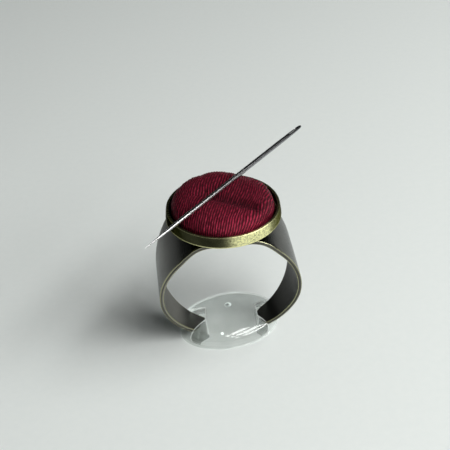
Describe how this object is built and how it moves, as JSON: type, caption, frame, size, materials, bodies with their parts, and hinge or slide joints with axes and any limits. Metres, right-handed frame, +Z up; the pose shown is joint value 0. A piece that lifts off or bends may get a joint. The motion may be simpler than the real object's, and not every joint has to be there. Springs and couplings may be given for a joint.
{
  "type": "finger ring pin cushion",
  "caption": "Open brass finger ring carrying a round cup with a domed fabric magnetic pin cushion, a sewing needle resting on it and a clear foot.",
  "frame": {"origin": "on the foot's flat underside, straight below the middle of the ring", "axes": "+X across the finger towards the right arm, +Y along the finger away from the viewer, +Z up from the foot to the cushion"},
  "size_m": [0.0248, 0.0267, 0.0254],
  "materials": {
    "aged_brass": "antique brass, dark oxidised faces, bright worn edges, fine rolling scratches",
    "aged_brass_cup": "antique brass cup, satin, rim rubbed bright",
    "solder": "dull grey-brass solder film",
    "glue": "clear amber craft glue, cured",
    "crimson_crepe": "deep crimson ribbed kimono crepe with a silky sheen",
    "red_thread": "twisted cotton thread",
    "white_card": "plain white plastic board",
    "plated_magnet": "nickel plated, satin",
    "cotton_wadding": "loose off-white cotton fibre",
    "needle_steel": "polished drawn steel with fine lengthwise lines",
    "clear_gel": "clear soft gel, glossy, faint green-grey tint, one small air bubble"
  },
  "bodies": {
    "ring": {"band_crown": "aged_brass", "solder_disc": "solder", "bezel_cup": "aged_brass_cup", "glue_disc": "glue", "fabric_cover": "crimson_crepe", "gather_thread": "red_thread", "backing_disc": "white_card", "magnet": "plated_magnet", "padding": "cotton_wadding"},
    "arm_left": {"band_arm_left": "aged_brass"},
    "arm_right": {"band_arm_right": "aged_brass"},
    "needle": {"needle": "needle_steel"},
    "foot": {"clear_foot": "clear_gel"}
  },
  "joints": [
    {"name": "arm_left_flex", "type": "hinge", "parent": "ring", "child": "arm_left", "pos_m": [-0.00548, 0, 0.01995], "axis": [0, 1, 0], "range_deg": [0, 6]},
    {"name": "arm_right_flex", "type": "hinge", "parent": "ring", "child": "arm_right", "pos_m": [0.00548, 0, 0.01995], "axis": [0, -1, 0], "range_deg": [0, 6]},
    {"name": "needle_lift", "type": "slide", "parent": "ring", "child": "needle", "axis": [0, 0, 1], "range_m": [0, 0.02]},
    {"name": "foot_pull", "type": "slide", "parent": "ring", "child": "foot", "axis": [0, 0, -1], "range_m": [0, 0.015]}
  ]
}
